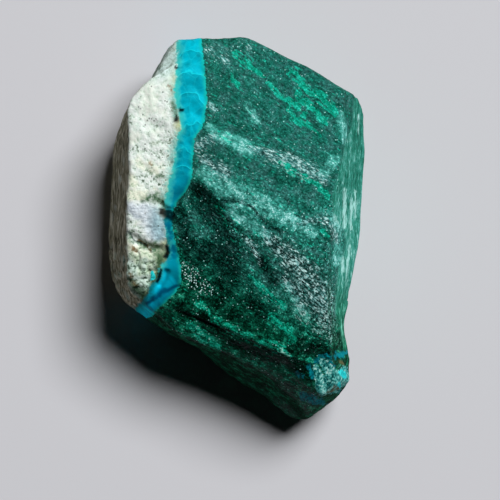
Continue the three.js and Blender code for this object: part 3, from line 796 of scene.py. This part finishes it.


# %% [markdown]
# ## Malachite
#
# Malachite grows as bundles of fibres, so its colour runs in streaks, and a fresh break shows
# thousands of tiny faces. Each face is one cell of a fine cell pattern, with a tone and a tilt of
# its own, and now and then one flashes with a glint painted into its colour. A tone, from 0 for
# black to 1 for the palest, is added up from patterns of every size, and ramps turn tones into greens.

# %% The greens of malachite, from dark to light
CLEAR_GREEN = [(0, (0.0005, 0.009, 0.006)), (0.25, (0.003, 0.06, 0.041)), (0.5, (0.01, 0.18, 0.128)),
               (0.72, (0.032, 0.4, 0.3)), (0.88, (0.11, 0.56, 0.47)), (1, (0.36, 0.84, 0.78))]
GREY_GREEN = [(0, (0.003, 0.011, 0.01)), (0.25, (0.012, 0.05, 0.045)), (0.5, (0.04, 0.15, 0.14)),
              (0.72, (0.095, 0.34, 0.315)), (0.88, (0.22, 0.56, 0.53)), (1, (0.46, 0.84, 0.82))]
EMERALD = [(0, (0.0005, 0.01, 0.006)), (0.25, (0.001, 0.07, 0.04)), (0.5, (0.003, 0.28, 0.175)),
           (0.7, (0.012, 0.54, 0.39)), (0.88, (0.1, 0.72, 0.57)), (1, (0.5, 0.9, 0.82))]
EAST_GREEN = [(0.15, (0.006, 0.11, 0.07)), (0.5, (0.026, 0.27, 0.19)), (0.75, (0.08, 0.44, 0.36)),
              (1, (0.4, 0.84, 0.77))]
NEAR_LEFT = (-0.5, -0.86, 0)  # the side that is turned away from the light
print(len(CLEAR_GREEN), "stops from black to the palest green")

# %% Malachite: patterns
place, fibres, grains, silk, silver, glitter, vivid, shade, east, wall = start_group(
    "Malachite", "place fibres grains", "silk silver glitter vivid shade east wall")
needle = chances(cells(fibres, 0.12))
streak = clouds(fibres, 0.25, 3)
splinter = clouds(fibres, 0.4)
band = clouds(fibres, 1)
dash = clouds(grains, 0.2)
grain = chances(cells(place, 0.13))
sand = clouds(place, 0.3)
patch = clouds(place, 1, 4)
blotch = clouds(place, 2.5)
place_y = axes(place)[1]
towards = add("VectorMath", {0: place, 1: NEAR_LEFT}, operation="DOT_PRODUCT")[1]

# %% Malachite: tone
speckle = swayed(0, (streak, 0.4), (dash, 0.6), (sand, 0.6), (grain[0], 0.2), (needle[0], 0.12))
speckle = linear(calc("POWER", grain[1], 6), 0.35, speckle)
coarse = times(fade(place_y, 10, -2, 0.68, 1), mix(east, 1, 0.35))
patchy = fade(towards, 0, 8, 0.26, 0.85)
tone = swayed(linear(speckle, coarse, 0.365), (band, 0.2), (blotch, 0.1), (patch, patchy))
# Painted sheen: the tone is lighter and greyer where its strokes lie.
sheen_share = times(silk, fade(patch, 0.36, 0.62, 0.5, 1.25))
dull_between = times(silver, fade(place_y, 4, -2, -0.06, 0.13))
# The dark strokes darken the tone: dark malachite, and painted shade below the crest and ledges.
for mark, weight in ((sheen_share, 0.34), (glitter, 0.2), (dull_between, -1), (shade, -0.32)):
    tone = linear(mark, weight, tone)
done("tone")

# %% Malachite: greens, splinters and painted glints on needles
greyness = most(fade(patch, 0.42, 0.62, 0.1, 0.7), times(silk, 0.5))
greyness = most(greyness, times(silver, 0.9))
greyness = times(greyness, fade(towards, 2, 7, 1, 0.2))
colour = blend(greyness, ramp(tone, CLEAR_GREEN), ramp(tone, GREY_GREEN))
likely = swayed(times(vivid, 0.7), (splinter, 2.2), (dash, 0.7), (patch, 0.5))
emerald = fade(likely, 0.28, 0.62)
colour = blend(emerald, colour, ramp(calc("ADD", tone, 0.12), EMERALD))
# Painted glints: pale needles where the grains would catch the light.
shine = times(silver, fade(sand, 0.35, 0.65, 0.5, 1))
shine = swayed(linear(shine, 0.5, 0.33), (dash, 0.7), (needle[1], 0.65), (sand, 0.3))
colour = blend(fade(shine, 0.66, 1.08), colour, blend(needle[2], (0.14, 0.43, 0.42), (0.62, 0.94, 0.91)))
done("top")

# %% Malachite: the east side, and shade on the near left
east_tone = swayed(linear(speckle, 0.5, 0.48), (streak, 1.2), (band, 0.9), (patch, 0.5))
east_tone = linear(fade(place_y, 8, 0), 0.13, east_tone)
# Painted sheen on the east side: pale mint streaks, and a painted highlight along its ridge.
east_painted_sheen = fade(swayed(silk, (streak, 3)), 0.35, 1.05)
east_colour = blend(east_painted_sheen, ramp(east_tone, EAST_GREEN), (0.46, 0.88, 0.82))
colour = blend(times(east, 0.85), colour, east_colour)
dim = blend(fade(patch, 0.4, 0.65), (0.18, 0.46, 0.34), (0.5, 0.85, 0.68))
shaded = times(fade(towards, 2, 9), fade(emerald, 0, 1, 1, 0.35))
colour = tint(shaded, colour, dim)
colour = tint(times(wall, fade(towards, -3, 3)), colour, dim)
done("sides")

# %% Malachite: painted glints on grains that flash
dots = cells(place, 0.18)
chance = chances(dots)
# Painted glints: near-white dots on single grains, thickest where the glitter strokes lie.
painted_flash = calc("GREATER_THAN", linear(glitter, 0.42, chance[0]), 0.95)
painted_flash = times(painted_flash, fade(dots["Distance"], 0.52, 0.22))
strength = mix(glitter, mix(wall, chance[1], 0.1), 0.85)
colour = blend(times(painted_flash, strength), colour, blend(glitter, (0.44, 0.88, 0.83), (0.68, 1, 0.98)))
end_group(Color=colour, Height=linear(sand, 1.2, grain[0]))

# %% [markdown]
# ## Azurite
#
# The vein is waxy, with rounded lobes that met as they grew. Thin pale lines mark where they met,
# and a pale green seam runs along each side. The blue changes along the vein, so it is a ramp on
# the place from the near end to the far end, and each lobe then gets a tone of its own.

# %% Azurite: the blue of each lobe
BLUES = [(at, (0.0005, green, blue)) for at, green, blue in (  # from the near end to the far end
    (0, 0.64, 0.96), (0.06, 0.44, 0.61), (0.33, 0.46, 0.64), (0.42, 0.18, 0.27), (0.48, 0.32, 0.45),
    (0.61, 0.375, 0.5), (0.68, 0.44, 0.58), (0.77, 0.57, 0.74), (0.85, 0.43, 0.57), (0.94, 0.37, 0.49),
    (1, 0.5, 0.65))]
place, lobes, left_gap, right_gap, wall = start_group("Azurite", "place", "lobes vein_left vein_right wall")
along = axes(place)[1]
cloud = clouds(place, 0.8, 3)
wander = linear(clouds(place, 1.5), 0.5, lobes)
lobe_part = calc("FRACT", wander)
lobe_number = calc("FLOOR", wander)
lobe_random = add("TexWhiteNoise", {"W": lobe_number}, noise_dimensions="1D")[0]
small_tone = chances(cells(place, 1.2))[0]
tone = linear(cloud, 0.9, linear(lobe_random, 0.2, 0.3))
tone = linear(small_tone, 0.22, linear(lobe_part, -0.25, tone))
calm = times(fade(along, 7, 5), rest(wall))  # the narrow, even half
tone = mix(calm, tone, linear(left_gap, -0.3, 1.15))
tone_as_grey = ramp(times(tone, 0.5), [(0, (0, 0, 0)), (1, (2, 2, 2))])
colour = tint(1, ramp(fade(along, -10, 22), BLUES), tone_as_grey)
done("lobes")

# %% Azurite: pale lines and side seams
wild = rest(calm)
to_edge = calc("PINGPONG", lobe_part, 0.5)
meeting = times(fade(to_edge, 0.05, 0), mix(lobe_random, 0.3, 0.7))
colour = blend(times(meeting, wild), colour, (0.01, 0.72, 0.8))
small_gap = cells(place, 1.2, feature="DISTANCE_TO_EDGE")["Distance"]
fine_line = times(fade(small_gap, 0.08, 0), 0.14)
colour = blend(times(fine_line, wild), colour, (0.02, 0.72, 0.8))
right_seam = fade(linear(cloud, 0.6, right_gap), -0.3, 0.35)
colour = blend(times(right_seam, 0.75), colour, (0.008, 0.48, 0.38))
near_end = fade(along, -4.5, -6.5)
left_seam = fade(linear(cloud, -1.4, left_gap), mix(near_end, 0.2, 0.6), -0.7)
colour = blend(times(left_seam, 0.85), colour, blend(near_end, (0.05, 0.56, 0.5), (0.004, 0.13, 0.13)))
# Painted light: the vein's walls at the near end turn from the lamp, and are made lighter and bluer.
under = times(wall, fade(along, 5, -3))
colour = tint(under, colour, (1, 1.5, 1.35))
narrow = times(fade(along, 2, 0.5), fade(along, -4.5, -2.5))
narrow = times(narrow, fade(cloud, 0.62, 0.42, 0.5, 1))
colour = tint(narrow, colour, (0.25, 0.34, 0.42))
end_group(Color=colour, Height=linear(cloud, 0.8, fade(to_edge, 0.12, 0, 0, 0.3)))

# %% [markdown]
# ## Host rock
#
# The rind is a pale, grainy rock. A fresh break is cream with black grains and rusty stains. It
# turns grey-green where ore seeped in from the vein, and the old outer wall has weathered
# grey-brown. Each of these is one colour laid over the last, as washes are in a painting.

# %% Host rock: the fresh break
CREAM = [(0.16, (0.1, 0.14, 0.1)), (0.32, (0.54, 0.66, 0.56)), (0.42, (0.79, 0.92, 0.84)),
         (0.56, (0.89, 0.96, 0.91))]
place, left_gap, stain, moss, chalk, specks, wall = start_group(
    "Host rock", "place", "vein_left stain moss chalk specks wall")
_, along, height = axes(place)
patch = clouds(place, 2.2)
grain = chances(cells(place, 0.2))
lump = swayed(clouds(place, 0.5, 4), (grain[2], 0.12))
crumbled = fade(along, -1.5, -4)
contrast = fade(along, 14, 8, 1.15, 1.6)
contrast = times(contrast, fade(patch, 0.4, 0.6, 1.15, 0.75))
lump = swayed(linear(crumbled, -0.11, 0.5), (lump, contrast))
warm = times(fade(patch, 0.48, 0.64), fade(along, 12, 5, 0.15, 0.45))
colour = tint(warm, ramp(lump, CREAM), (0.95, 0.87, 0.58))
done("fresh break")

# %% Host rock: chalk, ore and the far chip
brushed = clouds(stretch(place, (0.6, 1.6, 1)), 0.4, 3)
chalk_colour = blend(fade(left_gap, -2.4, -0.5), (0.78, 0.86, 0.92), (0.42, 0.68, 0.76))
chalk_shade = blend(fade(brushed, 0.35, 0.65), (0.56, 0.6, 0.64), (1.06, 1.06, 1.06))
colour = blend(times(chalk, 0.9), colour, tint(1, chalk_colour, chalk_shade))
seep = fade(linear(lump, 1.6, left_gap), -0.3, 0.9)
seep = times(seep, linear(chalk, -0.85, 0.9))
colour = blend(seep, colour, blend(fade(patch, 0.4, 0.6), (0.26, 0.6, 0.52), (0.46, 0.54, 0.27)))
chip = fade(along, 16.5, 19, 0, 0.7)
colour = blend(chip, colour, blend(fade(lump, 0.38, 0.58), (0.34, 0.5, 0.45), (0.62, 0.84, 0.81)))
done("chalk and ore")

# %% Host rock: moss green with painted shade, rust and black specks
# Moss green where ore seeped in, and one stroke of painted shade on the bank of the crack.
moss_and_shade_share = times(moss, fade(lump, 0.72, 0.48, 0.5, 1))
colour = tint(moss_and_shade_share, colour, (0.16, 0.25, 0.17))
rusty = times(stain, fade(lump, 0.62, 0.42, 0.1, 0.9))
colour = blend(rusty, colour, (0.28, 0.16, 0.06))
spots = cells(place, 0.26)
likely = most(specks, times(crumbled, 0.9))
speck = calc("GREATER_THAN", linear(likely, 0.15, chances(spots)[0]), 0.993)
speck = times(speck, fade(spots["Distance"], 0.5, 0.25, 0, 0.8))
colour = blend(speck, colour, (0.1, 0.13, 0.11))
colour = tint(crumbled, colour, (0.74, 0.83, 0.79))
done("stains")

# %% Host rock: the weathered outer wall
WEATHERED = [(0.32, (0.05, 0.046, 0.025)), (0.5, (0.29, 0.275, 0.18)), (0.66, (0.72, 0.69, 0.54))]
bark = clouds(stretch(place, (3.5, 0.5, 1.6)), 1, 5)
far_chip = fade(swayed(along, (lump, 5)), 14, 17)
chipped = times(far_chip, fade(swayed(height, (patch, 16)), 5, 8))
weathered = times(wall, fade(chipped, 0, 1, 1, 0.25))
colour = blend(weathered, colour, ramp(bark, WEATHERED))
end_group(Color=colour, Height=linear(lump, 2, grain[1]))

# %% [markdown]
# ## One material for the whole stone
#
# The three minerals meet along uneven lines, so a little noise is added to the distance from each
# face of the vein before it is cut into a mask. The facets are one more group: it leans the normal
# by a random amount in each grain.


# %% Facets
grains, tilt = start_group("Facets", "grains", "tilt")
lean = cells(grains, 0.13)["Color"]
lean = add("VectorMath", {0: lean, 1: (0.5, 0.5, 0.5)}, operation="SUBTRACT")[0]
lean = add("VectorMath", {0: lean, "Scale": tilt}, operation="SCALE")[0]
leaned = add("VectorMath", {0: add("NewGeometry")["Normal"], 1: lean}, operation="ADD")[0]
end_group(Normal=add("VectorMath", {0: leaned}, operation="NORMALIZE")[0])

# %% The ore material: what the groups read
ore = bpy.data.materials.new("copper ore")
ore.use_nodes = True
principled = ore.node_tree.nodes["Principled BSDF"].inputs
work_in(ore.node_tree)
stored = [layer.name for layer in stone.data.attributes if layer.data_type == "FLOAT"]
value = {name: add("Attribute", attribute_name=name)["Fac"] for name in stored}
place = stretch(add("TexCoord")["Object"], (1 / MM,) * 3)
place_x, place_y, height = axes(place)
by_fibre = add("CombineXYZ", {"X": value["along"], "Y": value["across"], "Z": height})[0]
value.update(place=place, fibres=stretch(by_fibre, (0.25, 1, 1)), grains=stretch(by_fibre, (0.45, 1, 1)))


def grouped(name):
    """A node that stands for a group, each input filled with the value of its own name."""
    group = bpy.data.node_groups[name]
    names = [socket.name for socket in group.interface.items_tree if socket.in_out == "INPUT"]
    return add("Group", {name: value[name] for name in names}, node_tree=group)


malachite, azurite, rock = grouped("Malachite"), grouped("Azurite"), grouped("Host rock")
print("the ore reads", *stored)

# %% The ore material: where the minerals meet
ragged = linear(clouds(stretch(place, (1, 1.8, 1)), 0.6, 3), 1.6, -0.8)
meander = linear(clouds(place, 1.3, 3), 1.4, -0.7)
meander = linear(ragged, 0.35, meander)
is_rock = fade(calc("ADD", value["vein_left"], meander), 0.2, -0.2)
overgrown = calc("ADD", value["vein_right"], fade(place_y, -9.8, -11.2, 0, 0.9))
is_green = fade(linear(ragged, 0.4, overgrown), -0.06, 0.06)
chips = chances(cells(place, 0.2))
broken = linear(swayed(ragged, (chips[0], 0.7)), 0.8, -0.6)
blue = fade(linear(value["blue"], 1.6, broken), 0.2, 0.8)
blue_share = most(chips[1], times(value["blue"], fade(place_x, 11.3, 12.3)))
colour = blend(is_green, azurite["Color"], malachite["Color"])
colour = blend(blue, colour, blend(blue_share, (0.0008, 0.045, 0.06), (0.002, 0.26, 0.31)))
colour = blend(is_rock, colour, rock["Color"])
done("minerals")

# %% The ore material: crust, stains, and painted shade in pits and cracks
FLAKES = [(0.25, (0.002, 0.04, 0.04)), (0.42, (0.008, 0.16, 0.15)), (0.53, (0.08, 0.44, 0.4)),
          (0.64, (0.3, 0.7, 0.64)), (0.75, (0.66, 0.9, 0.86))]
crust = fade(linear(value["crust"], 2.2, broken), 0.25, 0.65)
flake = swayed(clouds(place, 0.5, 4), (chips[2], 0.22))
colour = blend(crust, colour, ramp(flake, FLAKES))
colour = blend(times(value["stain"], is_green), colour, (0.13, 0.125, 0.055))
# Bright blue ore at the tip, and a painted highlight by the vein.
turquoise_and_highlight = fade(linear(broken, 0.4, value["turquoise_and_highlight"]), 0.1, 0.6)
colour = blend(turquoise_and_highlight, colour, blend(chips[0], (0.004, 0.42, 0.45), (0.04, 0.86, 0.86)))
# Painted shade: the hollows by the vein are darkened nearly to black.
colour = tint(value["pits"], colour, (0.04, 0.03, 0.035))
# Painted shade: the cracks are darkened along their lines, blue-black in the vein.
in_vein = times(rest(is_rock), rest(is_green))
crack_gap = linear(ragged, 0.05, value["crack"])
crack_shade = fade(crack_gap, mix(in_vein, 0.22, 0.5), 0.04, 0, 0.95)
colour = tint(crack_shade, colour, blend(in_vein, (0.08, 0.12, 0.12), (0.1, 0.24, 0.34)))
done("marks")

# %% The ore material: gloss and grain
value["tilt"] = linear(is_green, 0.3, 0.05)
facets = grouped("Facets")
height = mix(is_rock, mix(is_green, azurite["Height"], malachite["Height"]), rock["Height"])
sockets = {"Height": height, "Distance": 0.06 * MM, "Strength": 0.8, "Normal": facets["Normal"]}
grain = add("Bump", sockets)[0]
roughness = mix(value["wall"], mix(is_rock, mix(is_green, 0.38, 0.24), 0.8), 0.85)
fill(principled, {"Base Color": colour, "Normal": grain, "Roughness": roughness, "IOR": 1.6})
fill(principled, {"Specular IOR Level": 0.04, "Specular Tint": (0.1, 1, 0.95, 1)})
stone.data.materials.append(ore)
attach(stone, "root")
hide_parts(STONE)
done("the ore material")

# %% [markdown]
# ## Floor, light and camera
#
# One soft lamp stands to the far right, about as high as the sun in mid-morning, and the room adds
# next to nothing. The camera looks straight down, so the floor behind the stone is its background.

# %% Floor
FLOOR_REACH = 400
corners = FLOOR_REACH * np.array([(-1, -1, 0), (1, -1, 0), (1, 1, 0), (-1, 1, 0)], float)
floor = mesh_object("floor", corners, np.array([(0, 1, 2, 3)]))
paper = bpy.data.materials.new("floor paper")
paper.use_nodes = True
fill(paper.node_tree.nodes["Principled BSDF"].inputs, {"Base Color": (0.6, 0.6, 0.63, 1), "Roughness": 0.9})
floor.data.materials.append(paper)
print("floor", 2 * FLOOR_REACH, "mm wide")

# %% Light
LAMP_WAY = Vector((0.396, 0.507, 0.766)).normalized()  # from the stone to the lamp
LAMP_DISTANCE = 2.5
scene = bpy.context.scene
scene.view_settings.view_transform = "Standard"
world = bpy.data.worlds.new("studio")
world.use_nodes = True
fill(world.node_tree.nodes["Background"].inputs, {"Color": (0.9, 0.95, 1, 1), "Strength": 0.004})
scene.world = world
lamp = bpy.data.lights.new("window", "AREA")
lamp.shape, lamp.size, lamp.energy = "DISK", 1.2, 82
window = bpy.data.objects.new("window", lamp)
window.location = LAMP_WAY * LAMP_DISTANCE
window.rotation_euler = LAMP_WAY.to_track_quat("Z", "Y").to_euler()
scene.collection.objects.link(window)
print("the lamp stands", round(math.degrees(math.asin(LAMP_WAY.z))), "degrees high")

# %% Camera
FOCUS_HEIGHT = 14  # the height at which the picture's width is VIEW_WIDTH
CAMERA_HEIGHT = 360
CAMERA_PLACE = (1.59, -2.47)  # in plan
VIEW_WIDTH = 58.75
SENSOR = 36
camera_data = bpy.data.cameras.new("camera")
camera_data.sensor_width = SENSOR
camera_data.lens = SENSOR * (CAMERA_HEIGHT - FOCUS_HEIGHT) / VIEW_WIDTH
camera_data.clip_start, camera_data.clip_end = 0.01, 5
camera = bpy.data.objects.new("camera", camera_data)
camera.location = Vector((*(CAMERA_PLACE + to_middle), CAMERA_HEIGHT)) * MM
scene.collection.objects.link(camera)
scene.camera = camera
print("lens:", round(camera_data.lens), "mm")
